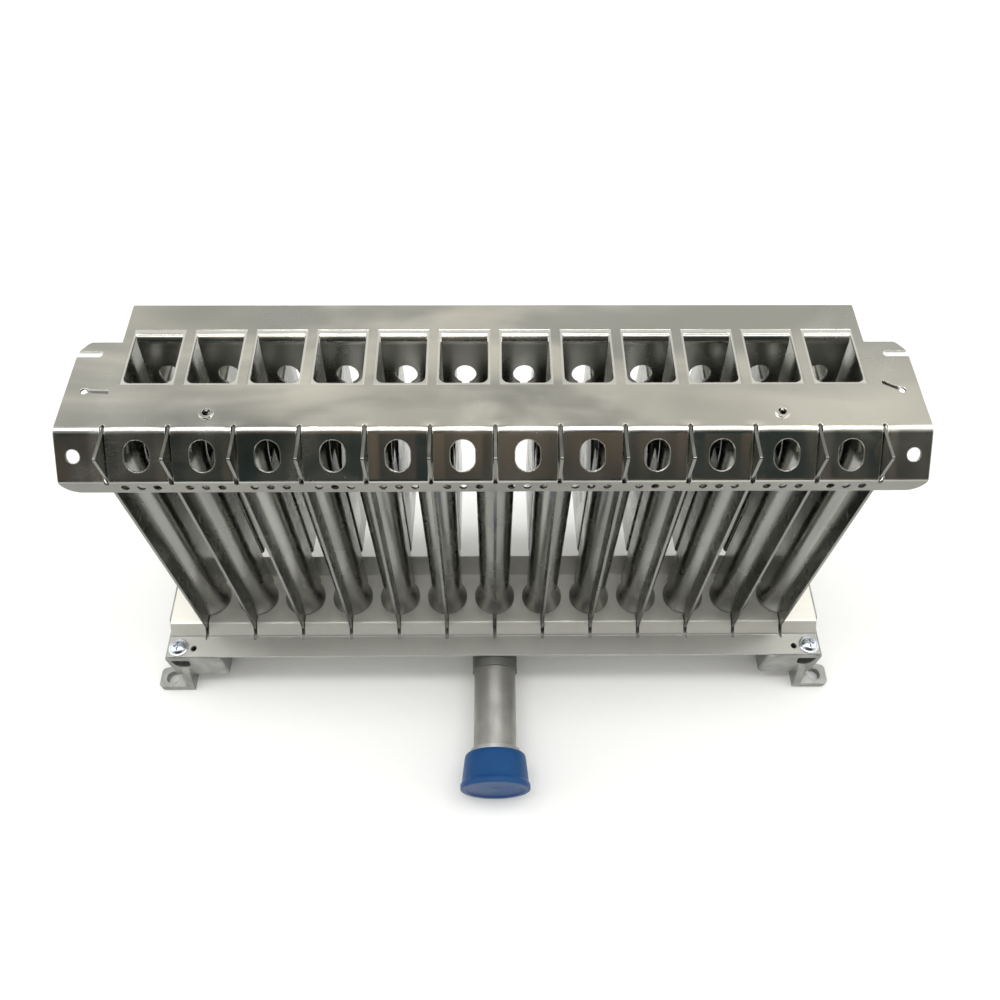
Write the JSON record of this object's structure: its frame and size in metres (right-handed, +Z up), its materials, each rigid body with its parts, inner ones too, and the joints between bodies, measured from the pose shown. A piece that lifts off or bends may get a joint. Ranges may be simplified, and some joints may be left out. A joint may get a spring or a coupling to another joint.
{
  "type": "burner assembly",
  "caption": "Atmospheric gas burner: a row of pressed steel blades with upright venturi tubes between a windowed head panel and a die-cast gas manifold with capped inlet pipe.",
  "frame": {"origin": "middle of the bounding box in X and Y, at the underside of the manifold and its feet", "axes": "+X along the row of blades, to the right seen from the gas inlet; -Y towards the gas inlet; +Z up along the venturi tubes to the head panel"},
  "size_m": [0.303, 0.138, 0.1577],
  "materials": {
    "blade_steel": "satin stamped stainless",
    "port_steel": "satin stainless",
    "polished_steel": "bright rolled stainless",
    "satin_steel": "satin rolled stainless with fine speckle",
    "cast_aluminium": "as cast, satin",
    "pipe_aluminium": "satin",
    "fitting_steel": "turned",
    "brass": "turned",
    "washer": "soft sealing washer",
    "zinc_steel": "zinc plated",
    "blue_plastic": "moulded polyethylene"
  },
  "bodies": {
    "burner": {"blade_01_left_shell": "blade_steel", "blade_01_right_shell": "blade_steel", "blade_01_port_strip": "port_steel", "blade_02_left_shell": "blade_steel", "blade_02_right_shell": "blade_steel", "blade_02_port_strip": "port_steel", "blade_03_left_shell": "blade_steel", "blade_03_right_shell": "blade_steel", "blade_03_port_strip": "port_steel", "blade_04_left_shell": "blade_steel", "blade_04_right_shell": "blade_steel", "blade_04_port_strip": "port_steel", "blade_05_left_shell": "blade_steel", "blade_05_right_shell": "blade_steel", "blade_05_port_strip": "port_steel", "blade_06_left_shell": "blade_steel", "blade_06_right_shell": "blade_steel", "blade_06_port_strip": "port_steel", "blade_07_left_shell": "blade_steel", "blade_07_right_shell": "blade_steel", "blade_07_port_strip": "port_steel", "blade_08_left_shell": "blade_steel", "blade_08_right_shell": "blade_steel", "blade_08_port_strip": "port_steel", "blade_09_left_shell": "blade_steel", "blade_09_right_shell": "blade_steel", "blade_09_port_strip": "port_steel", "blade_10_left_shell": "blade_steel", "blade_10_right_shell": "blade_steel", "blade_10_port_strip": "port_steel", "blade_11_left_shell": "blade_steel", "blade_11_right_shell": "blade_steel", "blade_11_port_strip": "port_steel", "blade_12_left_shell": "blade_steel", "blade_12_right_shell": "blade_steel", "blade_12_port_strip": "port_steel", "blade_13_left_shell": "blade_steel", "blade_13_right_shell": "blade_steel", "blade_13_port_strip": "port_steel", "head_panel": "polished_steel", "front_panel": "satin_steel", "manifold_body": "cast_aluminium", "injectors": "brass", "injector_washers": "washer", "gallery_plugs": "zinc_steel", "inlet_pipe": "pipe_aluminium", "inlet_fitting": "fitting_steel", "panel_screws": "zinc_steel"},
    "thread_cap": {"thread_cap": "blue_plastic"}
  },
  "joints": [
    {"name": "cap_pull", "type": "slide", "parent": "burner", "child": "thread_cap", "axis": [0, -1, 0], "range_m": [0, 0.03]}
  ]
}
